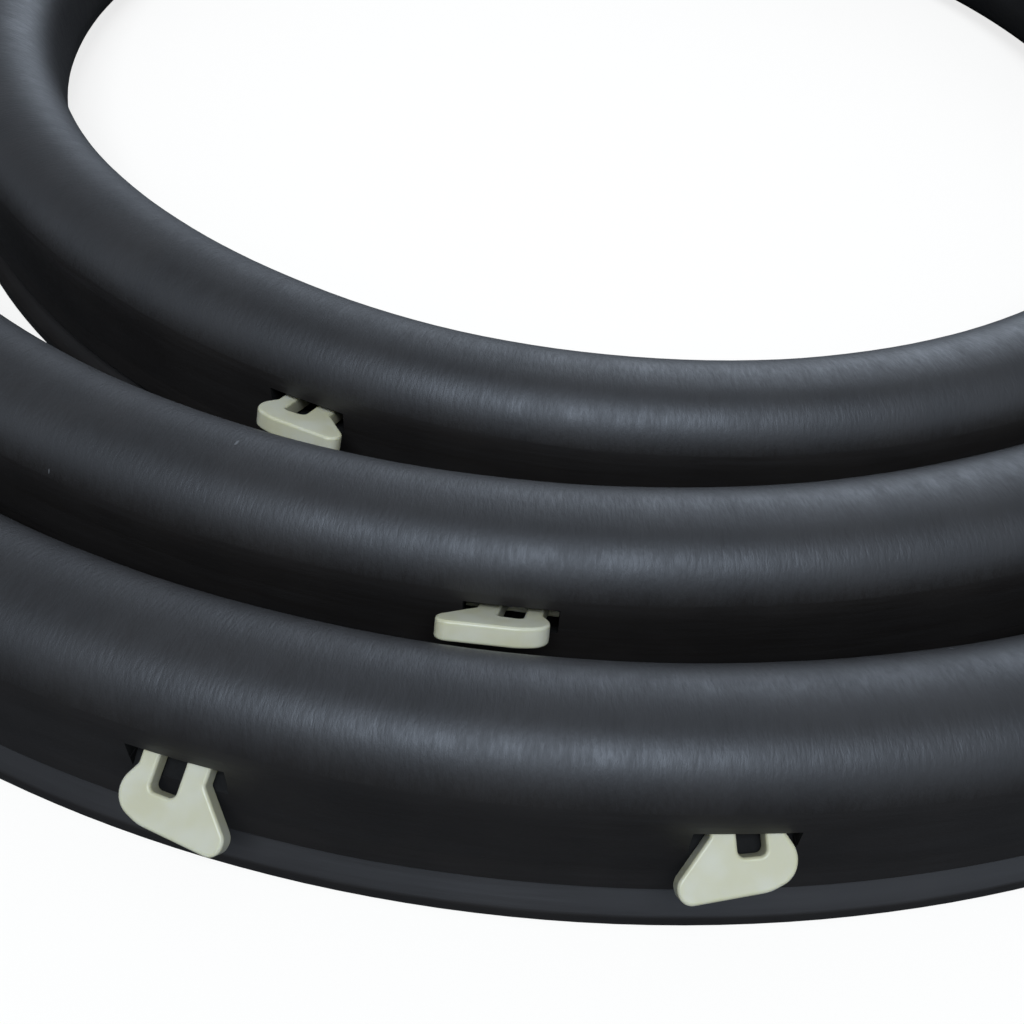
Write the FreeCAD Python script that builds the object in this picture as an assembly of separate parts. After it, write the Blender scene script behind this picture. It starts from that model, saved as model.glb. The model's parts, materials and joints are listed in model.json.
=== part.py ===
import FreeCAD, Part
import math
import os

# A coiled bulb seal: a hollow sponge bulb on a dense base strip, held by snap clips.
# Millimetres and degrees. Z is up and the coil lies flat on Z = 0.

# Section of the strip. "Reach" is measured outwards from the line that the coil follows.
strip_height = 22.0
inner_reach = 9.9
base_reach_top = 6.0
base_reach_foot = 6.7
lip_reach = 8.2
lip_height = 2.2
lip_edge_radius = 0.8
groove_reach = 5.9
groove_height = 4.6
groove_lip_height = 5.4
groove_radius = 0.3
bulb_inner_top_radius = 9.6
bulb_inner_foot_radius = 8.0
bulb_outer_top_radius = 6.4
sponge_wall = 2.6
base_inner_reach = 3.4
base_top_drop = 4.5

# Coil: quarter turns, each with its own radius, wound outwards and clockwise from above.
quarter_angle = 90.0
quarter_turns = 12
first_radius = 98.0
quarter_growth = 5.0
quarter_ease = (3.5, -8.5, 2.5, -6.0, -0.5, 0.5, -1.0, 2.0, -0.5, 2.0, 1.5, 1.5)
start_angle = 155.0
straight_end = strip_height

# Snap clip, a flat plate: heel and toe outside, two legs in the slot, a bar in the hollow.
clip_thickness = 2.0
head_depth = 5.7
heel_depth = 5.1
heel_bulge = 1.0
heel_swell_share = 0.38
heel_shoulder_share = 0.8
head_slant = 0.2
toe_overhang = 3.2
toe_height = 1.9
heel_leg_width = 1.65
toe_leg_width = 2.2
notch_width = 2.45
notch_depth = 2.1
bar_gap = 2.9
bar_depth = 2.0
bar_overhang = 3.0
neck_radius = 0.45
heel_radius = 2.4
heel_shoulder_radius = 2.4
heel_top_radius = 4.0
toe_top_radius = 1.2
toe_foot_radius = 1.3
inner_corner_radius = 0.4
bar_corner_radius = 0.6
notch_head_radius = 0.6
clip_edge_round = 0.3

# How the clips sit. Places are quarter turns wound since the start of the coil's first arc.
clip_places = (0.113, 0.464, 0.803, 1.970, 2.392, 2.807, 3.265, 3.646, 4.1, 4.479,
               4.869, 5.288, 5.761, 6.225, 6.601, 6.977, 7.285, 7.686, 8.085, 8.479,
               8.872, 9.274, 9.6735, 9.8805, 10.241, 10.595, 10.935, 11.288, 11.617, 11.889)
slot_drop = 8.4
slot_height = strip_height - slot_drop
hanging_tilt = -35.0
propped_tilt = 15.0
hanging_swing = 40.0
propped_swing = 10.0
seat_gap = 0.35
plate_clearance = 0.15
slot_float = 1.4

# A clip floats in its slot: pushed in (or pulled out, below zero) and turned a little. The four
# seen clips have their own (push, turn); the others take turns through the usual ones.
usual_floats = ((0.3, 2.0), (-0.4, -3.0), (0.7, 0.0), (0.0, 3.5), (-0.6, -1.5))
seen_floats = {4: (-0.8, -4.5), 13: (-0.4, -5.0), 23: (1.2, 4.0), 24: (-0.2, 3.5)}

# How finely things are cut, rounded and searched.
cut_margin = 2.0
side_share = 0.98
least_edge = 1e-6
outline_samples = 240
head_samples = 12
level_match = 0.2
tilt_step = 1.0
tilt_limit = 90.0
search_share = 0.7
search_step = 1.0
neighbour_limit = 3 * strip_height
spacing_samples = 400
up = FreeCAD.Vector(0, 0, 1)


def outward(angle):
    """Unit vector from the middle of the coil, at an angle from the near side."""
    turn = math.radians(angle)
    return FreeCAD.Vector(math.sin(turn), -math.cos(turn), 0)


def along(angle):
    """Unit vector along the strip, the way it is wound."""
    turn = math.radians(angle)
    return FreeCAD.Vector(-math.cos(turn), -math.sin(turn), 0)


def rounded_outline(corners, place):
    """Closed wire through flat corners (u, v, radius), rounded as far as the sides have room."""
    count = len(corners)
    points = [FreeCAD.Vector(u, v, 0) for u, v, radius in corners]
    ways = []
    for index, here in enumerate(points):
        before = (points[index - 1] - here).normalize()
        after = (points[(index + 1) % count] - here).normalize()
        ways.append((before, after, before.getAngle(after) / 2))
    cuts = [corner[2] / math.tan(way[2]) for corner, way in zip(corners, ways)]
    shrink = [1.0] * count
    for index in range(count):
        other = (index + 1) % count
        room = side_share * (points[other] - points[index]).Length
        if cuts[index] + cuts[other] > room:
            fit = room / (cuts[index] + cuts[other])
            shrink[index] = min(shrink[index], fit)
            shrink[other] = min(shrink[other], fit)
    ends = []
    for index, (before, after, half) in enumerate(ways):
        radius = corners[index][2] * shrink[index]
        cut = cuts[index] * shrink[index]
        here = points[index]
        bulge = here + (before + after).normalize() * (radius / math.sin(half) - radius)
        ends.append((here + before * cut, bulge, here + after * cut, radius))
    edges = []
    for index, (arc_start, bulge, arc_end, radius) in enumerate(ends):
        if radius > 0:
            edges.append(Part.Arc(place(arc_start), place(bulge), place(arc_end)).toShape())
        next_start = ends[(index + 1) % len(ends)][0]
        if (next_start - arc_end).Length > least_edge:
            edges.append(Part.LineSegment(place(arc_end), place(next_start)).toShape())
    return Part.Wire(edges)


def quarter_length(radius):
    return radius * math.radians(quarter_angle)


def coil_quarters():
    """Centre, radius and first angle of each quarter turn, centre of the first at the origin."""
    quarters = []
    centre = FreeCAD.Vector(0, 0, 0)
    angle = start_angle
    for index in range(quarter_turns):
        radius = first_radius + quarter_growth * index + quarter_ease[index]
        if quarters:
            centre = centre + outward(angle) * (quarters[-1][1] - radius)
        quarters.append((centre, radius, angle))
        angle -= quarter_angle
    return quarters


def route_place(quarters, distance):
    """Point on the route and the angle there, at a distance from the inner end."""
    centre, radius, angle = quarters[0]
    left = distance - straight_end
    if left < 0:
        return centre + outward(angle) * radius + along(angle) * left, angle
    for centre, radius, angle in quarters:
        if left <= quarter_length(radius):
            here = angle - math.degrees(left / radius)
            return centre + outward(here) * radius, here
        left -= quarter_length(radius)
    here = angle - quarter_angle
    return centre + outward(here) * radius + along(here) * left, here


def wound_distance(quarters, place):
    """Distance along the strip to a place given in quarter turns."""
    whole = int(place)
    done = sum(quarter_length(radius) for centre, radius, angle in quarters[:whole])
    return straight_end + done + quarter_length(quarters[whole][1]) * (place - whole)


def route_wire(quarters):
    """The line that the strip follows: a straight end, quarter turns, a straight end."""
    centre, radius, angle = quarters[0]
    start = centre + outward(angle) * radius
    edges = [Part.LineSegment(start - along(angle) * straight_end, start).toShape()]
    for centre, radius, angle in quarters:
        turned = (0, quarter_angle / 2, quarter_angle)
        points = [centre + outward(angle - part) * radius for part in turned]
        edges.append(Part.Arc(*points).toShape())
    last = angle - quarter_angle
    finish = centre + outward(last) * radius
    edges.append(Part.LineSegment(finish, finish + along(last) * straight_end).toShape())
    return Part.Wire(edges)


def route_length(quarters):
    return 2 * straight_end + sum(quarter_length(radius) for centre, radius, angle in quarters)


def section_corners():
    """Outer contour of the whole strip."""
    return [
        (-inner_reach, strip_height, bulb_inner_top_radius),
        (-inner_reach, 0, bulb_inner_foot_radius),
        (lip_reach, 0, lip_edge_radius),
        (lip_reach, lip_height, lip_edge_radius),
        (groove_reach, groove_height, groove_radius),
        (base_reach_foot, groove_lip_height, groove_radius),
        (base_reach_top, strip_height, bulb_outer_top_radius),
    ]


def hollow_corners():
    """Contour of the hollow inside the bulb."""
    return [
        (-inner_reach + sponge_wall, strip_height - sponge_wall, bulb_inner_top_radius - sponge_wall),
        (-inner_reach + sponge_wall, sponge_wall, bulb_inner_foot_radius - sponge_wall),
        (base_inner_reach, sponge_wall, 0),
        (base_inner_reach, strip_height - sponge_wall, bulb_outer_top_radius - sponge_wall),
    ]


def section_faces(start, angle):
    """Faces of the sponge bulb and of the dense base, across the start of the route."""
    def place(flat):
        return start + outward(angle) * flat.x + up * flat.y

    outer = Part.Face(rounded_outline(section_corners(), place))
    hollow = Part.Face(rounded_outline(hollow_corners(), place))
    base_top = strip_height - base_top_drop
    step_height = strip_height - bulb_outer_top_radius
    base_zone = Part.Face(rounded_outline([
        (base_inner_reach, -cut_margin, 0),
        (lip_reach + cut_margin, -cut_margin, 0),
        (lip_reach + cut_margin, base_top, 0),
        (0, base_top, 0),
        (0, step_height, 0),
        (base_inner_reach, step_height, 0),
    ], place))
    solid_section = outer.cut(hollow)
    base = solid_section.common(base_zone)
    bulb = solid_section.cut(base_zone)
    return bulb.Faces[0], base.Faces[0]


def swept(route, face):
    shape = Part.Wire(route).makePipeShell([face.OuterWire], True, False)
    return Part.Solid(shape.Shells[0])


def outline_points(corners):
    """Points round a contour, as (reach, height) pairs."""
    wire = rounded_outline(corners, lambda flat: flat)
    return [(point.x, point.y) for point in wire.discretize(outline_samples)]


def slot_half_depth():
    """Half the base's thickness at the slots."""
    rise = (slot_height - groove_lip_height) / (strip_height - groove_lip_height)
    face_reach = base_reach_foot + (base_reach_top - base_reach_foot) * rise
    return (face_reach - base_inner_reach) / 2


def pivot_reach():
    return base_inner_reach + slot_half_depth()


def heel_side():
    return -notch_width / 2 - heel_leg_width


def toe_side():
    return notch_width / 2 + toe_leg_width


def clip_shape():
    """One clip about its pivot: X along the strip towards the toe, Y outwards, Z across."""
    face = slot_half_depth()
    bar_top = -face - bar_gap
    bar_foot = bar_top - bar_depth
    heel_end = heel_side() - heel_bulge
    toe_end = toe_side() + toe_overhang
    toe_bar = toe_side() + bar_overhang
    heel_bar = heel_side() - bar_overhang

    def place(flat):
        return FreeCAD.Vector(flat.x, flat.y, -clip_thickness / 2)

    outline = rounded_outline([
        (heel_side(), face + head_slant, neck_radius),
        (heel_end, face + heel_depth * heel_swell_share, heel_radius),
        (heel_end + head_slant, face + heel_depth * heel_shoulder_share, heel_shoulder_radius),
        (heel_side() + heel_leg_width, face + heel_depth, heel_top_radius),
        (toe_end - head_slant, face + head_depth, toe_top_radius),
        (toe_end, face + head_depth - toe_height, toe_foot_radius),
        (toe_side(), face + head_slant, neck_radius),
        (toe_side(), bar_top, inner_corner_radius),
        (toe_bar, bar_top, bar_corner_radius),
        (toe_bar, bar_foot, bar_corner_radius),
        (heel_bar, bar_foot, bar_corner_radius),
        (heel_bar, bar_top, bar_corner_radius),
        (heel_side(), bar_top, inner_corner_radius),
    ], place)
    notch = rounded_outline([
        (-notch_width / 2, bar_top, inner_corner_radius),
        (notch_width / 2, bar_top, inner_corner_radius),
        (notch_width / 2, face + notch_depth, notch_head_radius),
        (-notch_width / 2, face + notch_depth, notch_head_radius),
    ], place)
    plate = Part.Face(outline).cut(Part.Face(notch)).extrude(up * clip_thickness)
    rims = [edge for edge in plate.Edges if abs(edge.BoundBox.ZLength) < least_edge]
    return plate.makeFillet(clip_edge_round, rims)


def slot_cutter(low_tilt, high_tilt):
    """What a clip's legs need through the base, over its whole swing."""
    slot_start = heel_side() - slot_float
    slot_end = toe_side() + slot_float
    half_height = clip_thickness / 2 + plate_clearance
    reach = slot_half_depth() + cut_margin
    slabs = []
    for tilt in (low_tilt, high_tilt):
        slab = Part.makeBox(
            slot_end - slot_start, 2 * reach, 2 * half_height,
            FreeCAD.Vector(slot_start, -reach, -half_height))
        slab.rotate(FreeCAD.Vector(0, 0, 0), FreeCAD.Vector(1, 0, 0), tilt)
        slabs.append(slab)
    return slabs[0].fuse(slabs[1])


def spacing_outwards(quarters, distance):
    """Distance from a point of the route to the next turn outwards, or none on the outermost."""
    point, angle = route_place(quarters, distance)
    far = distance + search_share * 2 * math.pi * first_radius
    end = route_length(quarters)
    nearest = None
    while far < end:
        gap = (route_place(quarters, far)[0] - point).Length
        nearest = gap if nearest is None else min(nearest, gap)
        far += search_step
    if nearest is None or nearest > neighbour_limit:
        return None
    return nearest


def head_depths(push, turned):
    """Depths outside the base that a floating head's heel, middle and toe reach."""
    spin = math.radians(turned)
    ends = (heel_side() - heel_bulge, 0, toe_side() + toe_overhang)
    face = slot_half_depth()
    furthest = max(end * math.sin(spin) + (face + head_depth) * math.cos(spin) for end in ends) - push
    return [face + (furthest - face) * step / head_samples for step in range(head_samples + 1)]


def bar_clear(tilt, push, turned):
    """Whether the bar of a hanging clip stays under the hollow's ceiling."""
    hollow = outline_points(hollow_corners())
    turn = math.radians(tilt)
    spin = math.radians(turned)
    for end in (heel_side() - bar_overhang, toe_side() + bar_overhang):
        foot = -slot_half_depth() - bar_gap - bar_depth
        y = end * math.sin(spin) + foot * math.cos(spin) - push
        reach = pivot_reach() + y * math.cos(turn) - clip_thickness / 2 * math.sin(turn)
        height = slot_height + y * math.sin(turn) + clip_thickness / 2 * math.cos(turn)
        ceiling = max(v for u, v in hollow if abs(u - reach) < level_match)
        if height + seat_gap > ceiling:
            return False
    return True


def rest_tilt(spacing, outline, push, turned):
    """Tilt at rest: hanging on the outermost turn, else propped on the next turn's shoulder."""
    if spacing is None:
        tilt = hanging_tilt
        while not bar_clear(tilt, push, turned):
            tilt += tilt_step
        return tilt
    tilt = propped_tilt
    while tilt < tilt_limit:
        turn = math.radians(tilt)
        gap = None
        for y in head_depths(push, turned):
            for z in (-clip_thickness / 2, clip_thickness / 2):
                reach = pivot_reach() + y * math.cos(turn) - z * math.sin(turn)
                height = slot_height + y * math.sin(turn) + z * math.cos(turn)
                for u, v in outline:
                    near = math.hypot(reach - spacing - u, height - v)
                    gap = near if gap is None else min(gap, near)
                    if reach > spacing + u and abs(height - v) < level_match and u < 0:
                        gap = 0
        if gap >= seat_gap:
            return tilt
        tilt += tilt_step
    return tilt


def floating(shape, push, turned):
    """A clip turned in its own plane and pushed in, as far as its slot lets it."""
    result = shape.copy()
    result.rotate(FreeCAD.Vector(0, 0, 0), up, turned)
    result.translate(FreeCAD.Vector(0, -push, 0))
    return result


def placed(shape, quarters, distance, toe_ahead, tilt):
    """A clip-frame shape moved to its place, turned toe ahead or toe behind, and tilted."""
    point, angle = route_place(quarters, distance)
    pivot = point + outward(angle) * pivot_reach() + up * slot_height
    result = shape.copy()
    if not toe_ahead:
        result.rotate(FreeCAD.Vector(0, 0, 0), FreeCAD.Vector(0, 1, 0), 180)
    facing = FreeCAD.Rotation(along(angle), outward(angle), up, "XYZ")
    result.rotate(FreeCAD.Vector(0, 0, 0), facing.Axis, math.degrees(facing.Angle))
    result.rotate(FreeCAD.Vector(0, 0, 0), along(angle), tilt)
    result.translate(pivot)
    return result, pivot, along(angle)


def main():
    os.makedirs("parts", exist_ok=True)
    quarters = coil_quarters()
    route = route_wire(quarters)
    start, angle = route_place(quarters, 0)
    bulb_face, base_face = section_faces(start, angle)
    bulb = swept(route, bulb_face)
    base = swept(route, base_face)
    outline = outline_points(section_corners())
    clip = clip_shape()
    shapes = {"sponge_bulb": bulb}
    swings = []
    cutters = []
    for index, wound in enumerate(clip_places):
        distance = wound_distance(quarters, wound)
        toe_ahead = index % 2 == 0
        spacing = spacing_outwards(quarters, distance)
        push, turned = seen_floats.get(index + 1, usual_floats[index % len(usual_floats)])
        tilt = rest_tilt(spacing, outline, push, turned)
        swing = hanging_swing if spacing is None else propped_swing
        name = f"clip_{index + 1:02d}"
        floated = floating(clip, push, turned)
        shapes[name], pivot, axis = placed(floated, quarters, distance, toe_ahead, tilt)
        limits = (tilt, tilt + swing) if toe_ahead else (-tilt, -tilt - swing)
        cutters.append(placed(slot_cutter(*limits), quarters, distance, toe_ahead, 0)[0])
        swings.append((name, pivot, axis, swing, tilt, spacing))
    shapes["dense_base"] = base.cut(Part.Compound(cutters)).Solids[0]

    whole = Part.Compound(list(shapes.values())).optimalBoundingBox(False, False)
    home = FreeCAD.Vector(-(whole.XMin + whole.XMax) / 2, -(whole.YMin + whole.YMax) / 2, -whole.ZMin)
    for name, shape in shapes.items():
        shape.translate(home)
        shape.exportStep(f"parts/{name}.step")

    print("start centre", [round(value, 3) for value in home])
    for name, pivot, axis, swing, tilt, spacing in swings:
        place = pivot + home
        print("joint", name, *[round(value, 3) for value in place],
              *[round(value, 6) for value in axis], swing, tilt,
              "free" if spacing is None else round(spacing, 2))
    length = route_length(quarters)
    print("strip length", round(length, 1))
    for name, face in (("sponge_bulb", bulb_face), ("dense_base", base_face)):
        print(name, "section", round(face.Area, 2), "section times length", round(face.Area * length),
              "volume", round(shapes[name].Volume))
    distances = [length * step / spacing_samples for step in range(spacing_samples)]
    spacings = [gap for gap in (spacing_outwards(quarters, there) for there in distances) if gap]
    least = min(math.hypot(u - p - min(spacings), v - q)
                for u, v in outline for p, q in outline)
    print("least gap of the strip to itself", round(least, 2), "at spacing", round(min(spacings), 2))
    print("size", [round(value, 2) for value in (whole.XLength, whole.YLength, whole.ZLength)])


main()
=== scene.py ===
# %% [markdown]
# # A coiled bulb seal with snap clips
# The real object is a rubber seal for the edge of a door or a lid: a hollow sponge bulb run
# together with a stiffer base strip, with plastic clips pushed through slots in the base. It is
# sold as a coil. The imported model gives every piece's place, and this lesson dresses it. First
# the model is opened.

# %% Open the imported model
import json
import math

import bpy
from mathutils import Matrix, Vector


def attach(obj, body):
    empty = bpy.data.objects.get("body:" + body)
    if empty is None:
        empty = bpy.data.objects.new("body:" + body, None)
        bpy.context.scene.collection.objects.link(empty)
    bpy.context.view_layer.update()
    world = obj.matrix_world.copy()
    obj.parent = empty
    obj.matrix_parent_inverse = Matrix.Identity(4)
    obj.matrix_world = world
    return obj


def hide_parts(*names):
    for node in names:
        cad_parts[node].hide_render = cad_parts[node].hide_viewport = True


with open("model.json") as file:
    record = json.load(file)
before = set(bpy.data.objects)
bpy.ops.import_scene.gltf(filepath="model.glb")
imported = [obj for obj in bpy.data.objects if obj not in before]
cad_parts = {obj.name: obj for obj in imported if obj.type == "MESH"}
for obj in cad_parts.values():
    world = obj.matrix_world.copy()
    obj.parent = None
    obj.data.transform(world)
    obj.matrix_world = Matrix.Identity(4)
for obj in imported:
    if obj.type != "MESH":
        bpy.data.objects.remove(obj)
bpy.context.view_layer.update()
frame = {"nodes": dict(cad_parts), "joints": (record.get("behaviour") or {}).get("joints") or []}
MM = 0.001

# %% [markdown]
# ## The camera
# The picture was taken from close by, looking down at the near side of the coil, with the camera
# turned a little about its own axis. A focal length in pixels becomes a lens in millimetres once
# it is divided by the picture's width and multiplied by the sensor's width. The axes are built by
# hand from a heading, a pitch and a roll, which is easier to check than three Euler angles.

# %% Place the camera
PICTURE_PIXELS = 1024
FOCAL_PIXELS = 1115.4
CAMERA_PLACE = Vector((-9.07, -198.26, 100.05)) * MM
CAMERA_HEADING = math.radians(1.02)
CAMERA_PITCH = math.radians(48.28)
CAMERA_ROLL = math.radians(3.93)

lens = bpy.data.cameras.new("camera")
lens.sensor_width = 36.0
lens.lens = lens.sensor_width * FOCAL_PIXELS / PICTURE_PIXELS
lens.clip_start = 0.005
camera = bpy.data.objects.new("camera", lens)
bpy.context.scene.collection.objects.link(camera)
ahead = Vector((math.sin(CAMERA_HEADING), math.cos(CAMERA_HEADING), 0))
forward = ahead * math.cos(CAMERA_PITCH) - Vector((0, 0, math.sin(CAMERA_PITCH)))
right = Vector((ahead.y, -ahead.x, 0))
above = right.cross(forward)
picture_x = right * math.cos(CAMERA_ROLL) + above * math.sin(CAMERA_ROLL)
picture_y = above * math.cos(CAMERA_ROLL) - right * math.sin(CAMERA_ROLL)
turn = Matrix((picture_x, picture_y, -forward)).transposed().to_4x4()
camera.matrix_world = Matrix.Translation(CAMERA_PLACE) @ turn
bpy.context.scene.camera = camera
bpy.context.scene.view_settings.view_transform = "Standard"
print("lens", round(lens.lens, 2), "mm")

# %% [markdown]
# ## Node helpers
# Every tree below is written in code. One helper makes a node, sets its choices and joins its
# inputs, so that a tree reads from top to bottom.

# %% Helpers for node trees
def add_node(tree, kind, choices=None, **inputs):
    """A node with its inputs set to numbers or joined to sockets. Names use _ for spaces."""
    node = tree.nodes.new(kind)
    for name, value in (choices or {}).items():
        setattr(node, name, value)
    for name, value in inputs.items():
        wanted = name.replace("_", " ")
        if wanted.isdigit():
            socket = node.inputs[int(wanted)]
        else:
            socket = next(s for s in node.inputs if s.name == wanted and s.enabled)
        if isinstance(value, bpy.types.NodeSocket):
            tree.links.new(value, socket)
        else:
            socket.default_value = value
    return node


def math_node(tree, operation, first, second=0.0, clamp=False):
    node = add_node(tree, "ShaderNodeMath", {"operation": operation, "use_clamp": clamp},
                    **{"0": first, "1": second})
    return node.outputs[0]


def declare(tree, sockets, way="INPUT"):
    """Names the tree's own sockets: {name: kind}."""
    for name, kind in sockets.items():
        tree.interface.new_socket(name, in_out=way, socket_type="NodeSocket" + kind)


def ramp(tree, value, low, high, to_low=0.0, to_high=1.0):
    """A value carried smoothly from one range to another."""
    node = add_node(tree, "ShaderNodeMapRange", {"interpolation_type": "SMOOTHSTEP"}, Value=value,
                    From_Min=low, From_Max=high, To_Min=to_low, To_Max=to_high)
    return node.outputs["Result"]


print("helpers ready")

# %% [markdown]
# ## Floor and light
# The picture shows only the seal on white. To the camera the floor is white of its own, mixed with
# a pale board that takes the seal's shadow. The seal itself stood on something darker, because its
# outer wall mirrors hardly any floor, so other rays meet a darker board.
#
# The highlights on black rubber are the room's mirror image. Two soft bands run along each turn.
# One mirrors a soft box above the photographer, the other a bright far wall, low down. So the
# light is one wide panel above and behind the camera, and a world that is dim all round with a
# bright spot low on the far side and two weak ones beside the coil. A spot is a bell curve on the
# angle from its middle.

# %% Floor
FLOOR_SIZE = 6.0
FLOOR_DROP = 0.05 * MM
PALE_BOARD = (0.86, 0.80, 0.71, 1)
DARK_BOARD = (0.05, 0.05, 0.05, 1)
CAMERA_WHITE = 0.78

floor_mesh = bpy.data.meshes.new("floor")
half = FLOOR_SIZE / 2
floor_corners = [(-half, -half), (half, -half), (half, half), (-half, half)]
floor_mesh.from_pydata([(x, y, -FLOOR_DROP) for x, y in floor_corners], [], [(0, 1, 2, 3)])
floor = bpy.data.objects.new("floor", floor_mesh)
bpy.context.scene.collection.objects.link(floor)
floor_look = bpy.data.materials.new("pale_floor")
floor_look.use_nodes = True
tree = floor_look.node_tree
tree.nodes.clear()
path = add_node(tree, "ShaderNodeLightPath")
pale = add_node(tree, "ShaderNodeBsdfDiffuse", Color=PALE_BOARD)
glow = add_node(tree, "ShaderNodeEmission", Color=(1, 1, 1, 1), Strength=1.0)
seen = add_node(tree, "ShaderNodeMixShader",
                **{"0": CAMERA_WHITE, "1": pale.outputs[0], "2": glow.outputs[0]})
dark = add_node(tree, "ShaderNodeBsdfDiffuse", Color=DARK_BOARD)
mixed = add_node(tree, "ShaderNodeMixShader",
                 **{"0": path.outputs["Is Camera Ray"], "1": dark.outputs[0], "2": seen.outputs[0]})
add_node(tree, "ShaderNodeOutputMaterial", Surface=mixed.outputs[0])
floor_mesh.materials.append(floor_look)
print("floor", FLOOR_SIZE, "m")

# %% Panel above the camera
FRONT_OF_COIL = Vector((0, -120, 20)) * MM
PANEL_ELEVATION = math.radians(62)
PANEL_DISTANCE = 1.8
PANEL_WIDTH = 1.1
PANEL_DEPTH = 0.6
PANEL_RADIANCE = 16.0
PANEL_COLOUR = (0.88, 0.98, 1.11)

panel = bpy.data.lights.new("panel", "AREA")
panel.shape = "RECTANGLE"
panel.size = PANEL_WIDTH
panel.size_y = PANEL_DEPTH
panel.energy = PANEL_RADIANCE * math.pi * PANEL_WIDTH * PANEL_DEPTH
panel.color = PANEL_COLOUR
panel_lamp = bpy.data.objects.new("panel", panel)
to_panel = Vector((0, -math.cos(PANEL_ELEVATION), math.sin(PANEL_ELEVATION)))
panel_lamp.location = FRONT_OF_COIL + to_panel * PANEL_DISTANCE
panel_lamp.rotation_euler = to_panel.to_track_quat("Z", "Y").to_euler()
panel_lamp.visible_camera = False
bpy.context.scene.collection.objects.link(panel_lamp)
print("panel", round(panel.energy, 1), "W at", [round(v, 2) for v in panel_lamp.location])

# %% The room round it
ROOM_LEVEL = 0.32
ROOM_COLOUR = (0.88, 0.99, 1.14, 1)
ROOM_SPOTS = (((0.25, 0.94, 0.36), 29.0, 5.8), ((-0.90, -0.10, 0.42), 30.0, 1.2),
              ((0.80, -0.50, 0.33), 8.0, 0.8))


def room_spot(tree, direction, centre, tightness, strength):
    """Light of a soft spot: strength at its middle, falling as a bell curve of the angle."""
    near = add_node(tree, "ShaderNodeVectorMath", {"operation": "DOT_PRODUCT"},
                    **{"0": direction, "1": Vector(centre).normalized()})
    away = math_node(tree, "SUBTRACT", near.outputs["Value"], 1.0)
    bell = math_node(tree, "EXPONENT", math_node(tree, "MULTIPLY", away, tightness))
    return math_node(tree, "MULTIPLY", bell, strength)


world = bpy.data.worlds.new("room")
world.use_nodes = True
tree = world.node_tree
tree.nodes.clear()
ways = add_node(tree, "ShaderNodeTexCoord").outputs["Generated"]
level = ROOM_LEVEL
for centre, tightness, strength in ROOM_SPOTS:
    level = math_node(tree, "ADD", level, room_spot(tree, ways, centre, tightness, strength))
path = add_node(tree, "ShaderNodeLightPath")
room = add_node(tree, "ShaderNodeBackground", Color=ROOM_COLOUR, Strength=level)
white = add_node(tree, "ShaderNodeBackground", Color=(1, 1, 1, 1), Strength=1.0)
mixed = add_node(tree, "ShaderNodeMixShader",
                 **{"0": path.outputs["Is Camera Ray"], "1": room.outputs[0],
                    "2": white.outputs[0]})
add_node(tree, "ShaderNodeOutputWorld", Surface=mixed.outputs[0])
bpy.context.scene.world = world
print("room level", ROOM_LEVEL, "and", len(ROOM_SPOTS), "spots")

# %% [markdown]
# ## The line that the strip follows
# The strip is wound clockwise from its inner end in quarter turns, each with its own radius, with
# a short straight at both ends. A circle's arc is drawn well by a Bezier curve with one point each
# eighth of a turn. The handle that makes a true arc is a third of four times the tangent of a
# quarter of its angle, times the radius. Where two arcs meet they share a tangent, so the curve
# stays smooth although the radius changes.
#
# A sponge bulb is soft, and it stands a little fuller where the turns leave it room. Each point
# of the curve carries that as its radius: 1 plus the extra fullness in millimetres.

# %% The route as a Bezier curve
START_CENTRE = Vector((0.716, -12.269, 0.0)) * MM
FIRST_RADIUS = 98.0
QUARTER_GROWTH = 5.0
QUARTER_EASE = (3.5, -8.5, 2.5, -6.0, -0.5, 0.5, -1.0, 2.0, -0.5, 2.0, 1.5, 1.5)
START_ANGLE = 155.0
STRAIGHT_END = 22.0
ARCS_A_QUARTER = 2
FULLER = {5: 0.3, 12: 0.5, 14: 0.2, 18: 0.2, 19: 0.4, 22: 1.3, 23: 1.0}
ROUTE_RESOLUTION = 48
UP = Vector((0, 0, 1))
radii = [(FIRST_RADIUS + QUARTER_GROWTH * k + ease) * MM for k, ease in enumerate(QUARTER_EASE)]


def outward(angle):
    return Vector((math.sin(math.radians(angle)), -math.cos(math.radians(angle)), 0))


def along(angle):
    return Vector((-math.cos(math.radians(angle)), -math.sin(math.radians(angle)), 0))


def route_knots():
    """Each point of the route with its direction and the length of its two handles."""
    arc_angle = 90.0 / ARCS_A_QUARTER
    share = 4 / 3 * math.tan(math.radians(arc_angle) / 4)
    straight = STRAIGHT_END * MM
    centre, angle, before = START_CENTRE.copy(), START_ANGLE, radii[0]
    first = centre + outward(angle) * before
    knots = [(first - along(angle) * straight, along(angle), straight / 3, straight / 3)]
    handle = straight / 3
    for radius in radii:
        centre += outward(angle) * (before - radius)
        for _ in range(ARCS_A_QUARTER):
            knots.append((centre + outward(angle) * radius, along(angle), handle, share * radius))
            handle = share * radius
            angle -= arc_angle
        before = radius
    last = centre + outward(angle) * before
    knots.append((last, along(angle), handle, straight / 3))
    knots.append((last + along(angle) * straight, along(angle), straight / 3, straight / 3))
    return knots


def bezier_curve(name, knots):
    curve = bpy.data.curves.new(name, "CURVE")
    curve.dimensions = "3D"
    curve.resolution_u = ROUTE_RESOLUTION
    spline = curve.splines.new("BEZIER")
    spline.bezier_points.add(len(knots) - 1)
    for point, (place, way, back, ahead) in zip(spline.bezier_points, knots):
        point.handle_left_type = point.handle_right_type = "FREE"
        point.co = place
        point.handle_left = place - way * back
        point.handle_right = place + way * ahead
    return bpy.data.objects.new(name, curve)


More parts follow.
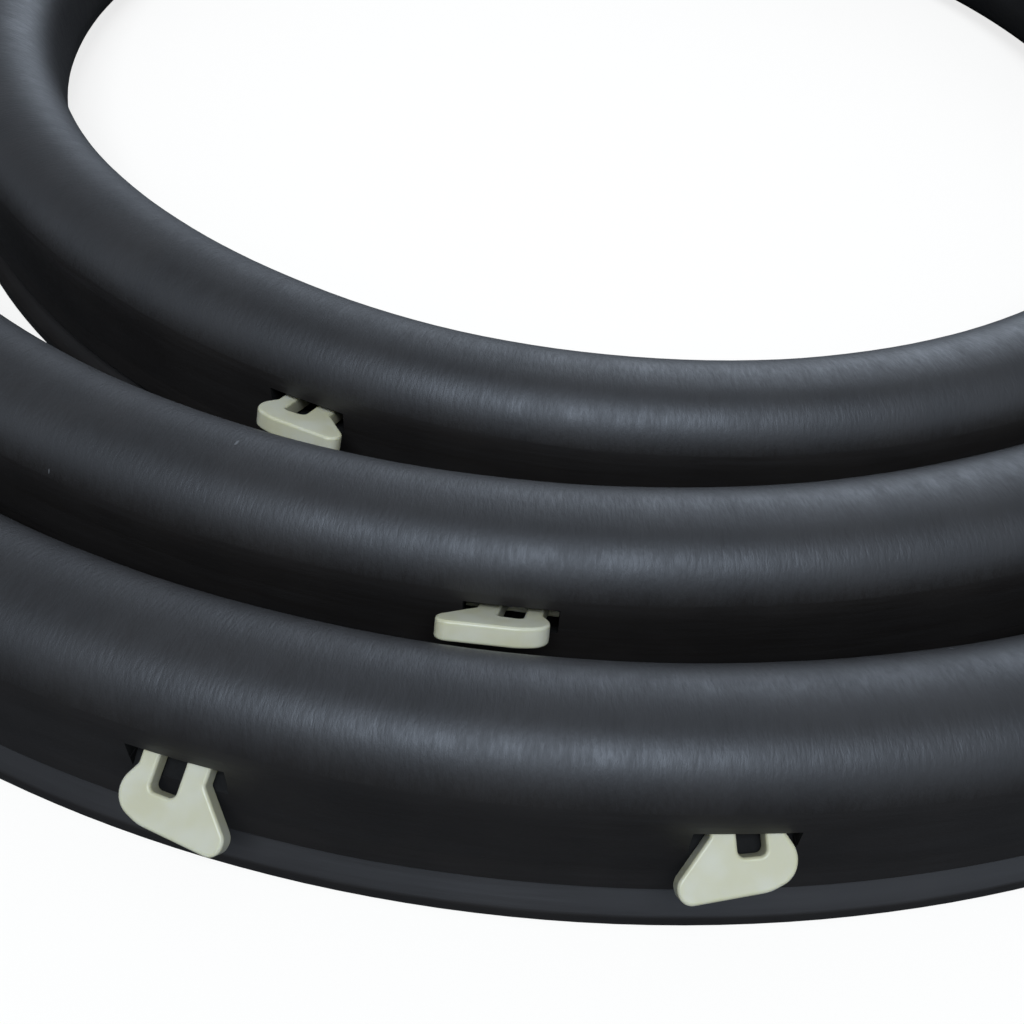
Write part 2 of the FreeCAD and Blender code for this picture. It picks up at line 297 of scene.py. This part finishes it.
route = bezier_curve("route", route_knots())
for knot, fuller in FULLER.items():
    route.data.splines[0].bezier_points[knot].radius = 1 + fuller
bpy.context.scene.collection.objects.link(route)
route_length = 2 * STRAIGHT_END * MM + sum(radii) * math.pi / 2
print("route", len(route.data.splines[0].bezier_points), "points,", round(route_length, 4), "m")

# %% [markdown]
# ## The section
# The real section is a hollow D: a thin round sponge wall on the inner side, a stiff upright base
# on the outer side with a groove and a lip at its foot. A flat outline with rounded corners is
# enough. Long sides get extra points, so that the shading of a small rounding next to them
# doesn't bleed over the flat. The base's inner face stands a little outwards of the seam's foot,
# so that the clips' bars inside never touch it.

# %% Outlines with rounded corners
LONGEST_SIDE = 1.3
LONGEST_ARC_STEP = 1.0
LARGEST_ARC_TURN = math.radians(15)
SIDE_SHARE = 0.98


def rounded(corners, side_step=LONGEST_SIDE):
    """Points round a closed outline of (reach, height, radius) corners, in millimetres."""
    points = [Vector(corner[:2]) for corner in corners]
    count = len(points)
    ways = []
    for k, here in enumerate(points):
        before = (points[k - 1] - here).normalized()
        after = (points[(k + 1) % count] - here).normalized()
        ways.append((before, after, before.angle(after) / 2))
    cuts = [corner[2] / math.tan(way[2]) for corner, way in zip(corners, ways)]
    shrink = [1.0] * count
    for k in range(count):
        other = (k + 1) % count
        room = SIDE_SHARE * (points[other] - points[k]).length
        if cuts[k] + cuts[other] > room:
            fit = room / (cuts[k] + cuts[other])
            shrink[k], shrink[other] = min(shrink[k], fit), min(shrink[other], fit)
    runs = []
    for k, (before, after, half_angle) in enumerate(ways):
        radius, cut = corners[k][2] * shrink[k], cuts[k] * shrink[k]
        if radius == 0:
            runs.append([points[k]])
            continue
        swept = math.pi - 2 * half_angle
        steps = max(2, math.ceil(swept / LARGEST_ARC_TURN),
                    math.ceil(swept * radius / LONGEST_ARC_STEP))
        middle = points[k] + (before + after).normalized() * (radius / math.sin(half_angle))
        first, last = points[k] + before * cut - middle, points[k] + after * cut - middle
        runs.append([middle + (first * math.sin(swept * (1 - s / steps))
                               + last * math.sin(swept * s / steps)) / math.sin(swept)
                     for s in range(steps + 1)])
    result = []
    for k, run in enumerate(runs):
        result += run
        gap = runs[(k + 1) % count][0] - run[-1]
        pieces = math.ceil(gap.length / side_step)
        result += [run[-1] + gap * (s / pieces) for s in range(1, pieces)]
    return result


def run_of(points, keep):
    """The kept points of a closed outline, as one run in order."""
    first = next(k for k in range(len(points)) if keep(points[k]) and not keep(points[k - 1]))
    turned = points[first:] + points[:first]
    stop = next((k for k, point in enumerate(turned) if not keep(point)), len(turned))
    return turned[:stop]


def crossing(points, height):
    """The point on the outer side of an outline at a height."""
    for k, here in enumerate(points):
        before = points[k - 1]
        if min(before.x, here.x) > 0 and (before.y - height) * (here.y - height) < 0:
            return before + (here - before) * (height - before.y) / (here.y - before.y)


print("outline tools ready")

# %% The bulb's and the base's section
STRIP_HEIGHT = 22
BACK_REACH = -9.9
LIP_REACH = 8.2
BASE_REACH = 3.4
INNER_FACE = 3.6
SEAM_HEIGHT = 17.5
SPONGE_WALL = 2.6
FLOOR_OF_HOLLOW, TOP_OF_HOLLOW = SPONGE_WALL, STRIP_HEIGHT - SPONGE_WALL
BACK_OF_HOLLOW = BACK_REACH + SPONGE_WALL
whole_outline = rounded([
    (BACK_REACH, STRIP_HEIGHT, 8.9), (BACK_REACH, 0, 8), (LIP_REACH, 0, 0.8),
    (LIP_REACH, 2.2, 0.8), (5.9, 4.6, 0.3), (6.95, 5.5, 0.3), (6.45, 8.2, 3.0),
    (6.0, STRIP_HEIGHT, 6.4)])
hollow = rounded([
    (BACK_OF_HOLLOW, TOP_OF_HOLLOW, 6.3), (BACK_OF_HOLLOW, FLOOR_OF_HOLLOW, 5.4),
    (INNER_FACE, FLOOR_OF_HOLLOW, 0), (INNER_FACE, TOP_OF_HOLLOW, 3.7)])


def in_base_outside(point):
    return point.x > BASE_REACH and point.y < SEAM_HEIGHT


def in_base_inside(point):
    return point.x > 0 and FLOOR_OF_HOLLOW < point.y < SEAM_HEIGHT


foot_corner = Vector((BASE_REACH, 0))
outer_seam, inner_seam = crossing(whole_outline, SEAM_HEIGHT), crossing(hollow, SEAM_HEIGHT)
bulb_outer = run_of(whole_outline, lambda point: not in_base_outside(point))
bulb_inner = run_of(hollow, lambda point: not in_base_inside(point))
base_outer = run_of(whole_outline, in_base_outside)
base_inner = run_of(hollow, in_base_inside)
bulb_section = [outer_seam] + bulb_outer + [foot_corner] + bulb_inner[::-1] + [inner_seam]
base_section = [foot_corner] + base_outer + [outer_seam, inner_seam] + base_inner[::-1]


def outline_object(name, points):
    """A closed curve in the XY plane. Curve to Mesh turns it half round, so both signs change."""
    curve = bpy.data.curves.new(name, "CURVE")
    curve.dimensions = "3D"
    spline = curve.splines.new("POLY")
    spline.points.add(len(points) - 1)
    for target, point in zip(spline.points, points):
        target.co = (-point.x * MM, -point.y * MM, 0, 1)
    spline.use_cyclic_u = True
    made = bpy.data.objects.new(name, curve)
    bpy.context.scene.collection.objects.link(made)
    return made


bulb_outline = outline_object("bulb_section", bulb_section)
base_outline = outline_object("base_section", base_section)
print("section points", len(bulb_section), "and", len(base_section))

# %% [markdown]
# ## Sweeping the sections
# An extruded strip is one outline carried along one line, which is what Curve to Mesh does. The
# tree resamples the route into even rings, keeps the outline upright, and writes down for every
# point how far along the strip and how far round the outline it is, so that a pattern can follow
# the rubber later. A real coil is never perfect, so a slow noise moves the skin by about a tenth
# of a millimetre. It fades out at the foot, which stays flat on the floor.

# %% The tree that sweeps a section
SHARP_EDGE = math.radians(40)


def smooth_by_angle(tree, geometry):
    """Smooth faces, with edges sharper than a limit kept sharp."""
    all_smooth = add_node(tree, "GeometryNodeSetShadeSmooth", {"domain": "FACE"},
                          Geometry=geometry, Shade_Smooth=True)
    angle = add_node(tree, "GeometryNodeInputMeshEdgeAngle")
    gentle = math_node(tree, "LESS_THAN", angle.outputs["Unsigned Angle"], SHARP_EDGE)
    kept = add_node(tree, "GeometryNodeSetShadeSmooth", {"domain": "EDGE"},
                    Geometry=all_smooth.outputs[0], Shade_Smooth=gentle)
    return kept.outputs[0]


def finish_tree(tree, geometry, material):
    """Every tree ends in real geometry with a material."""
    real = add_node(tree, "GeometryNodeRealizeInstances", Geometry=geometry)
    painted = add_node(tree, "GeometryNodeSetMaterial", Geometry=real.outputs[0], Material=material)
    add_node(tree, "NodeGroupOutput", Geometry=painted.outputs[0])


def waver_offset(tree, given):
    """A slow wander of the skin, none at the foot."""
    place = add_node(tree, "GeometryNodeInputPosition")
    cloud = add_node(tree, "ShaderNodeTexNoise", {"noise_dimensions": "4D"},
                     Vector=place.outputs[0], W=given.outputs["Seed"],
                     Scale=given.outputs["Waver Density"], Detail=1.0)
    centred = add_node(tree, "ShaderNodeVectorMath", {"operation": "SUBTRACT"},
                       **{"0": cloud.outputs["Color"], "1": (0.5, 0.5, 0.5)})
    height = add_node(tree, "ShaderNodeSeparateXYZ", Vector=place.outputs[0])
    lifted = ramp(tree, height.outputs["Z"], 0.0, given.outputs["Foot Height"])
    amount = math_node(tree, "MULTIPLY", lifted, given.outputs["Waver"])
    moved = add_node(tree, "ShaderNodeVectorMath", {"operation": "SCALE"},
                     **{"0": centred.outputs[0], "Scale": amount})
    return moved.outputs[0]


def stored(tree, geometry, name, value, kind="FLOAT"):
    node = add_node(tree, "GeometryNodeStoreNamedAttribute", {"data_type": kind},
                    Geometry=geometry, Name=name, Value=value)
    return node.outputs[0]


def named(tree, name, kind="FLOAT"):
    node = add_node(tree, "GeometryNodeInputNamedAttribute", {"data_type": kind}, Name=name)
    return node.outputs["Attribute"]


def fuller_offset(tree, given):
    """Inwards by the curve's extra fullness: all of it on the bulb's back, none on the base."""
    share = ramp(tree, named(tree, "reach"), given.outputs["Base Reach"],
                 given.outputs["Back Reach"])
    extra = math_node(tree, "MULTIPLY", named(tree, "fuller"), given.outputs["Fuller Unit"])
    amount = math_node(tree, "MULTIPLY", share, extra)
    moved = add_node(tree, "ShaderNodeVectorMath", {"operation": "SCALE"},
                     **{"0": named(tree, "inwards", "FLOAT_VECTOR"), "Scale": amount})
    return moved.outputs[0]


def sweep_tree():
    tree = bpy.data.node_groups.new("sweep_section", "GeometryNodeTree")
    declare(tree, {"Geometry": "Geometry", "Route": "Object", "Section": "Object",
                   "Ring Step": "Float", "Waver": "Float", "Waver Density": "Float",
                   "Foot Height": "Float", "Base Reach": "Float", "Back Reach": "Float",
                   "Fuller Unit": "Float", "Seed": "Float", "Material": "Material"})
    declare(tree, {"Geometry": "Geometry"}, "OUTPUT")
    given = add_node(tree, "NodeGroupInput")
    line = add_node(tree, "GeometryNodeObjectInfo", Object=given.outputs["Route"])
    rings = add_node(tree, "GeometryNodeResampleCurve", {"mode": "LENGTH"},
                     Curve=line.outputs["Geometry"], Length=given.outputs["Ring Step"])
    upright = add_node(tree, "GeometryNodeSetCurveNormal", {"mode": "Z_UP"}, Curve=rings.outputs[0])
    spot = add_node(tree, "GeometryNodeSplineParameter")
    normal = add_node(tree, "GeometryNodeInputNormal")
    width = math_node(tree, "SUBTRACT", add_node(tree, "GeometryNodeInputRadius").outputs[0], 1.0)
    line = stored(tree, upright.outputs[0], "along", spot.outputs["Length"])
    line = stored(tree, line, "inwards", normal.outputs[0], "FLOAT_VECTOR")
    line = stored(tree, line, "fuller", width)
    line = add_node(tree, "GeometryNodeSetCurveRadius", Curve=line, Radius=1.0)
    shape = add_node(tree, "GeometryNodeObjectInfo", Object=given.outputs["Section"])
    place = add_node(tree, "ShaderNodeSeparateXYZ",
                     Vector=add_node(tree, "GeometryNodeInputPosition").outputs[0])
    outline = stored(tree, shape.outputs["Geometry"], "around", spot.outputs["Length"])
    outline = stored(tree, outline, "reach", math_node(tree, "MULTIPLY", place.outputs["X"], -1.0))
    strip = add_node(tree, "GeometryNodeCurveToMesh", Curve=line.outputs[0], Profile_Curve=outline,
                     Fill_Caps=True)
    fuller = add_node(tree, "GeometryNodeSetPosition", Geometry=strip.outputs[0],
                      Offset=fuller_offset(tree, given))
    wavered = add_node(tree, "GeometryNodeSetPosition", Geometry=fuller.outputs[0],
                       Offset=waver_offset(tree, given))
    finish_tree(tree, smooth_by_angle(tree, wavered.outputs[0]), given.outputs["Material"])
    return tree


def grown(name, tree, start=None, **inputs):
    """Runs a tree on a start mesh and returns the result as a plain mesh object."""
    host = bpy.data.objects.new(name, start or bpy.data.meshes.new(name))
    bpy.context.scene.collection.objects.link(host)
    modifier = host.modifiers.new(name, "NODES")
    modifier.node_group = tree
    for item in tree.interface.items_tree:
        wanted = item.name.replace(" ", "_")
        if item.in_out == "INPUT" and wanted in inputs:
            modifier[item.identifier] = inputs[wanted]
    bpy.context.view_layer.update()
    done = host.evaluated_get(bpy.context.evaluated_depsgraph_get())
    mesh = bpy.data.meshes.new_from_object(done)
    host.modifiers.remove(modifier)
    host.data = mesh
    mesh.name = name
    return host


print("sweep tree ready")

# %% [markdown]
# ## Materials
# Four finishes are enough: the sponge skin, the denser rubber, its cut inside the slots (painted
# shade), and the plastic. They share some effects, so these are node groups: a grain that gives a
# height, and light flecks that give a mask. The coordinates decide what both look like. On the bulb
# the grain runs across the strip, as the fine wrinkles of a sponge skin do, and on the base it runs
# along it, as die lines do. Rubber that has lain a while gets a bluish bloom, which tints its
# sheen.

# %% Shared shader groups
def grain_group():
    """Height of a fine grain on coordinates given in metres."""
    group = bpy.data.node_groups.new("fine_grain", "ShaderNodeTree")
    declare(group, {"Vector": "Vector", "Grain Density": "Float", "Unevenness": "Float"})
    declare(group, {"Height": "Float"}, "OUTPUT")
    given = add_node(group, "NodeGroupInput")
    fine = add_node(group, "ShaderNodeTexNoise", Vector=given.outputs["Vector"],
                    Scale=given.outputs["Grain Density"], Detail=3.0, Roughness=0.6)
    coarse_density = math_node(group, "MULTIPLY", given.outputs["Grain Density"], 0.17)
    coarse = add_node(group, "ShaderNodeTexNoise", Vector=given.outputs["Vector"],
                      Scale=coarse_density, Detail=2.0)
    uneven = math_node(group, "MULTIPLY", coarse.outputs[0], given.outputs["Unevenness"])
    height = math_node(group, "ADD", fine.outputs[0], uneven)
    add_node(group, "NodeGroupOutput", Height=height)
    return group


def fleck_group():
    """Mask of light flecks: a few cells of a cell pattern, each with one dot."""
    group = bpy.data.node_groups.new("light_flecks", "ShaderNodeTree")
    declare(group, {"Vector": "Vector", "Cell Density": "Float", "Fleck Size": "Float",
                    "Share": "Float"})
    declare(group, {"Mask": "Float"}, "OUTPUT")
    given = add_node(group, "NodeGroupInput")
    cells = add_node(group, "ShaderNodeTexVoronoi", Vector=given.outputs["Vector"],
                     Scale=given.outputs["Cell Density"])
    dot = math_node(group, "LESS_THAN", cells.outputs["Distance"], given.outputs["Fleck Size"])
    pick = add_node(group, "ShaderNodeSeparateColor", Color=cells.outputs["Color"])
    chosen = math_node(group, "LESS_THAN", pick.outputs[0], given.outputs["Share"])
    add_node(group, "NodeGroupOutput", Mask=math_node(group, "MULTIPLY", dot, chosen))
    return group


fine_grain = grain_group()
light_flecks = fleck_group()
print("groups", fine_grain.name, light_flecks.name)

# %% Rubber
def new_material(name):
    material = bpy.data.materials.new(name)
    material.use_nodes = True
    material.node_tree.nodes.clear()
    return material, material.node_tree


def use_group(tree, group, **inputs):
    node = tree.nodes.new("ShaderNodeGroup")
    node.node_tree = group
    for name, value in inputs.items():
        socket = node.inputs[name.replace("_", " ")]
        if isinstance(value, bpy.types.NodeSocket):
            tree.links.new(value, socket)
        else:
            socket.default_value = value
    return node


def strip_vector(tree, along_scale, around_scale):
    """Coordinates on the strip's skin: along it and round it, each with its own stretch."""
    far = add_node(tree, "ShaderNodeAttribute", {"attribute_name": "along"})
    about = add_node(tree, "ShaderNodeAttribute", {"attribute_name": "around"})
    pair = add_node(tree, "ShaderNodeCombineXYZ",
                    X=math_node(tree, "MULTIPLY", far.outputs["Fac"], along_scale),
                    Y=math_node(tree, "MULTIPLY", about.outputs["Fac"], around_scale))
    return pair.outputs[0]


def mixed_colour(tree, share, first, second):
    node = add_node(tree, "ShaderNodeMix", {"data_type": "RGBA"})
    for socket, value in zip([s for s in node.inputs if s.enabled], (share, first, second)):
        if isinstance(value, bpy.types.NodeSocket):
            tree.links.new(value, socket)
        else:
            socket.default_value = value
    return next(s for s in node.outputs if s.enabled)


SCUFF_DENSITY = 420.0
SCUFF_SIZE = 0.05
SCUFF_GREY = (0.07, 0.07, 0.07, 1)
BLOOM_TINT = (0.94, 0.99, 1.06, 1)
TONE_DENSITY = 90.0
EVEN_LOW, EVEN_HIGH = 0.35, 0.65


def rubber(name, dark, light, roughness, stretch, grain_density, grain_depth, scuff_share):
    """Black rubber: slow tone changes, a fine grain with its own direction, and a few scuffs."""
    material, tree = new_material(name)
    skin = strip_vector(tree, *stretch)
    plain = strip_vector(tree, 1.0, 1.0)
    tone = add_node(tree, "ShaderNodeTexNoise", Vector=plain, Scale=TONE_DENSITY, Detail=4.0)
    colour = mixed_colour(tree, ramp(tree, tone.outputs[0], EVEN_LOW, EVEN_HIGH), dark, light)
    scuffs = use_group(tree, light_flecks, Vector=skin, Cell_Density=SCUFF_DENSITY,
                       Fleck_Size=SCUFF_SIZE, Share=scuff_share)
    colour = mixed_colour(tree, scuffs.outputs[0], colour, SCUFF_GREY)
    grain = use_group(tree, fine_grain, Vector=skin, Grain_Density=grain_density, Unevenness=0.8)
    gloss = ramp(tree, grain.outputs[0], 0.5, 1.3, roughness - 0.06, roughness + 0.08)
    relief = add_node(tree, "ShaderNodeBump", Strength=1.0, Distance=grain_depth,
                      Height=grain.outputs[0])
    shader = add_node(tree, "ShaderNodeBsdfPrincipled", Base_Color=colour, Roughness=gloss,
                      Normal=relief.outputs[0], IOR=1.5, Specular_Tint=BLOOM_TINT)
    add_node(tree, "ShaderNodeOutputMaterial", Surface=shader.outputs[0])
    return material


sponge_look = rubber("sponge_skin", dark=(0.0088, 0.0072, 0.0060, 1),
                     light=(0.0118, 0.0098, 0.0083, 1), roughness=0.51, stretch=(1.0, 0.28),
                     grain_density=2600.0, grain_depth=0.045 * MM, scuff_share=0.03)
dense_look = rubber("dense_rubber", dark=(0.0085, 0.0069, 0.0058, 1),
                    light=(0.0114, 0.0094, 0.0080, 1), roughness=0.48, stretch=(0.06, 1.0),
                    grain_density=2200.0, grain_depth=0.008 * MM, scuff_share=0.004)
print("rubber", sponge_look.name, dense_look.name)

# %% Rubber where it is cut, with painted shade
# These colours are painted shade: darker than the skin, for the shade inside the slots.
SLOT_SHADE_DARK = (0.003, 0.003, 0.003, 1)
SLOT_SHADE_LIGHT = (0.007, 0.0068, 0.0066, 1)
TEAR_DENSITY = 1500.0
TEAR_DEPTH = 0.05 * MM


def cut_rubber():
    """A slot's torn inside with painted shade: darker than the skin and without its sheen."""
    material, tree = new_material("cut_rubber")
    place = add_node(tree, "ShaderNodeTexCoord")
    tear = use_group(tree, fine_grain, Vector=place.outputs["Object"], Grain_Density=TEAR_DENSITY,
                     Unevenness=1.0)
    colour = mixed_colour(tree, ramp(tree, tear.outputs[0], 0.6, 1.2), SLOT_SHADE_DARK, SLOT_SHADE_LIGHT)
    relief = add_node(tree, "ShaderNodeBump", Strength=1.0, Distance=TEAR_DEPTH,
                      Height=tear.outputs[0])
    shader = add_node(tree, "ShaderNodeBsdfPrincipled", Base_Color=colour, Roughness=0.85,
                      Normal=relief.outputs[0], Specular_IOR_Level=0.15)
    add_node(tree, "ShaderNodeOutputMaterial", Surface=shader.outputs[0])
    return material


shaded_cut_look = cut_rubber()
print("cut", shaded_cut_look.name)

# %% [markdown]
# ## The clips' plastic
# Natural nylon is a little translucent and ivory. Its edges get a painted warm light: a yellower
# colour for the warm bounce and the light through the thin plastic. Light scatters inside it, so
# its edges are softer than paint would be. A bevelled normal leans away from the true one only
# near an edge, and that tells the material where the edges are.

# %% Clip plastic
FLAT_IVORY = (0.405, 0.383, 0.262, 1)
FLAT_MILKY = (0.435, 0.42, 0.325, 1)
EDGE_PAINTED_WARM_LIGHT = (0.40, 0.395, 0.20, 1)
EDGE_WIDTH = 0.7 * MM
PLASTIC_TONE_DENSITY = 260.0
PLASTIC_GRAIN_DENSITY = 1800.0
PLASTIC_GRAIN_DEPTH = 0.006 * MM
SCATTER_REACH = 0.8 * MM


def near_edges(tree, width):
    """1 close to the piece's edges and 0 on its flats: how far a bevelled normal leans away."""
    soft = add_node(tree, "ShaderNodeBevel", {"samples": 8}, Radius=width)
    true = add_node(tree, "ShaderNodeNewGeometry")
    match = add_node(tree, "ShaderNodeVectorMath", {"operation": "DOT_PRODUCT"},
                     **{"0": soft.outputs[0], "1": true.outputs["Normal"]})
    return ramp(tree, match.outputs["Value"], 1.0, 0.88)


def clip_plastic():
    material, tree = new_material("clip_plastic")
    place = add_node(tree, "ShaderNodeTexCoord")
    tone = add_node(tree, "ShaderNodeTexNoise", Vector=place.outputs["Object"],
                    Scale=PLASTIC_TONE_DENSITY, Detail=2.0)
    milky = ramp(tree, tone.outputs[0], EVEN_LOW, EVEN_HIGH)
    flat = mixed_colour(tree, milky, FLAT_IVORY, FLAT_MILKY)
    # Painted light: the edges turn yellower for the warm bounce and the light through thin plastic.
    colour = mixed_colour(tree, near_edges(tree, EDGE_WIDTH), flat, EDGE_PAINTED_WARM_LIGHT)
    grain = use_group(tree, fine_grain, Vector=place.outputs["Object"],
                      Grain_Density=PLASTIC_GRAIN_DENSITY, Unevenness=0.8)
    relief = add_node(tree, "ShaderNodeBump", Strength=1.0, Distance=PLASTIC_GRAIN_DEPTH,
                      Height=grain.outputs[0])
    shader = add_node(tree, "ShaderNodeBsdfPrincipled", Base_Color=colour, Roughness=0.38,
                      Normal=relief.outputs[0], IOR=1.5, Subsurface_Weight=0.25,
                      Subsurface_Radius=(1.0, 0.9, 0.5), Subsurface_Scale=SCATTER_REACH)
    add_node(tree, "ShaderNodeOutputMaterial", Surface=shader.outputs[0])
    return material


clip_look = clip_plastic()
print("plastic", clip_look.name)

# %% [markdown]
# ## The two rubber parts
# The same tree sweeps both sections along the same line, so the bulb and the base meet all along
# their seam without a gap, as two rubbers that leave one die together do.

# %% Sweep the bulb and the base
RING_STEP = 3.0 * MM
WAVER = 0.22 * MM
WAVER_DENSITY = 55.0
FOOT_HEIGHT = 4.0 * MM
sweep = sweep_tree()
strip_inputs = {"Route": route, "Ring_Step": RING_STEP, "Waver": WAVER,
                "Waver_Density": WAVER_DENSITY, "Foot_Height": FOOT_HEIGHT,
                "Base_Reach": BASE_REACH * MM, "Back_Reach": BACK_REACH * MM,
                "Fuller_Unit": MM, "Seed": 4.0}
bulb = grown("bulb", sweep, Section=bulb_outline, Material=sponge_look, **strip_inputs)
plain_base = grown("plain_base", sweep, Section=base_outline, Material=dense_look, **strip_inputs)
for piece in (bulb, plain_base):
    heights = [v.co.z / MM for v in piece.data.vertices]
    print(piece.name, len(piece.data.polygons), "faces,", round(min(heights), 2), "to",
          round(max(heights), 2), "mm high")

# %% [markdown]
# ## Slots for the clips
# On the real strip a punch cuts a slot through the base for each clip, and the clip rocks in it.
# A slot has to leave room for the clip at both ends of its swing, so each one is two flat blocks,
# one for each end, taken out of the base with Mesh Boolean. The tree stands a block on every
# point that it is given and reads its turn from the point. The second block of a slot is a hair
# longer, because a boolean sometimes leaves a thin web where two end faces lie in one plane. New
# corners that a boolean makes have no value for "along" and "around" where these are kept on
# points, so they go to the face corners first, which a boolean fills in between.

# %% Where each slot is
SLOT_SIZE = Vector((9.1, 6.95, 2.3)) * MM
TOE_SHIFT = 0.275 * MM
LARGE_FACES = 24
BLOCK_LENGTHS = (1.0, 1.01)


def thickness(mesh, way):
    reaches = [vertex.co.dot(way) for vertex in mesh.vertices]
    return max(reaches) - min(reaches)


def plate_way(clip):
    """Up from a clip's flat: of its largest faces' directions, the one it is thinnest along."""
    large = sorted(clip.polygons, key=lambda face: face.area)[-LARGE_FACES:]
    normal = min((face.normal for face in large), key=lambda way: thickness(clip, way))
    return normal * math.copysign(1, normal.z)


def slot_turns(joint):
    """A clip's pivot, and the turn of its slot at rest and at the end of its swing."""
    name = joint["child"].removesuffix("_body")
    way = Vector(joint["axis"])
    outer = UP.cross(way)
    plate = plate_way(frame["nodes"][name].data)
    rest = math.atan2(-plate.dot(outer), plate.z)
    toe_ahead = int(name.removeprefix("clip_")) % 2
    toe_way = way if toe_ahead else -way
    facing = Matrix((toe_way, outer, toe_way.cross(outer))).transposed()
    turns = [(Matrix.Rotation(rest + math.radians(swing), 3, way) @ facing).to_euler()
             for swing in joint["range_deg"]]
    return Vector(joint["pos_m"]), turns


slot_rows = [(pivot, turn, length) for pivot, turns in map(slot_turns, frame["joints"])
             for turn, length in zip(turns, BLOCK_LENGTHS)]
slot_points = bpy.data.meshes.new("slot_points")
slot_points.from_pydata([pivot for pivot, turn, length in slot_rows], [], [])
turn_values = slot_points.attributes.new("turn", "FLOAT_VECTOR", "POINT").data
stretch_values = slot_points.attributes.new("stretch", "FLOAT_VECTOR", "POINT").data
for turn_row, stretch_row, (pivot, turn, length) in zip(turn_values, stretch_values, slot_rows):
    turn_row.vector = turn
    stretch_row.vector = (length, 1, 1)

# %% The tree that cuts the slots
def on_corners(tree, geometry, name):
    """Moves a value from the points to the face corners."""
    moved = add_node(tree, "GeometryNodeStoreNamedAttribute",
                     {"data_type": "FLOAT", "domain": "CORNER"},
                     Geometry=geometry, Name=name, Value=named(tree, name))
    return moved.outputs[0]


def slot_tree():
    tree = bpy.data.node_groups.new("cut_slots", "GeometryNodeTree")
    declare(tree, {"Geometry": "Geometry", "Strip": "Object", "Slot Size": "Vector",
                   "Toe Shift": "Float", "Cut Material": "Material", "Material": "Material"})
    declare(tree, {"Geometry": "Geometry"}, "OUTPUT")
    given = add_node(tree, "NodeGroupInput")
    block = add_node(tree, "GeometryNodeMeshCube", Size=given.outputs["Slot Size"])
    shift = add_node(tree, "ShaderNodeCombineXYZ", X=given.outputs["Toe Shift"])
    block = add_node(tree, "GeometryNodeTransform", Geometry=block.outputs["Mesh"],
                     Translation=shift.outputs[0])
    marked = add_node(tree, "GeometryNodeStoreNamedAttribute",
                      {"data_type": "BOOLEAN", "domain": "FACE"},
                      Geometry=block.outputs[0], Name="cut", Value=True)
    facing = add_node(tree, "FunctionNodeEulerToRotation",
                      Euler=named(tree, "turn", "FLOAT_VECTOR"))
    blocks = add_node(tree, "GeometryNodeInstanceOnPoints", Points=given.outputs["Geometry"],
                      Instance=marked.outputs[0], Rotation=facing.outputs[0],
                      Scale=named(tree, "stretch", "FLOAT_VECTOR"))
    blocks = add_node(tree, "GeometryNodeRealizeInstances", Geometry=blocks.outputs[0])
    swept = add_node(tree, "GeometryNodeObjectInfo", Object=given.outputs["Strip"])
    strip = swept.outputs["Geometry"]
    for name in ("along", "around"):
        strip = on_corners(tree, strip, name)
    cut = add_node(tree, "GeometryNodeMeshBoolean", {"operation": "DIFFERENCE", "solver": "EXACT"},
                   Self_Intersection=True, **{"0": strip, "1": blocks.outputs[0]})
    real = add_node(tree, "GeometryNodeRealizeInstances",
                    Geometry=smooth_by_angle(tree, cut.outputs[0]))
    skin = add_node(tree, "GeometryNodeSetMaterial", Geometry=real.outputs[0],
                    Material=given.outputs["Material"])
    # The cut faces inside the slots get the rubber with painted shade.
    inside = add_node(tree, "GeometryNodeSetMaterial", Geometry=skin.outputs[0],
                      Selection=named(tree, "cut", "BOOLEAN"),
                      Material=given.outputs["Cut Material"])
    add_node(tree, "NodeGroupOutput", Geometry=inside.outputs[0])
    return tree


base = grown("base", slot_tree(), slot_points, Strip=plain_base, Slot_Size=SLOT_SIZE,
             Toe_Shift=TOE_SHIFT, Material=dense_look, Cut_Material=shaded_cut_look)

# %% [markdown]
# ## Riding on the bodies
# Each piece rides on the body that carries it, and stands for the solid that it replaces. The
# clips keep their own shape from the model, and only get the plastic. What only helped to make
# the strip is removed.

# %% Ride, replace and finish
for piece, node, slot in ((bulb, "sponge_bulb", "sponge_rubber"),
                          (base, "dense_base", "dense_rubber")):
    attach(piece, "strip")
    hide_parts(node)
for name, node in frame["nodes"].items():
    if name.startswith("clip_"):
        node.data.materials.clear()
        node.data.materials.append(clip_look)
for helper in (route, bulb_outline, base_outline, plain_base):
    bpy.data.objects.remove(helper)
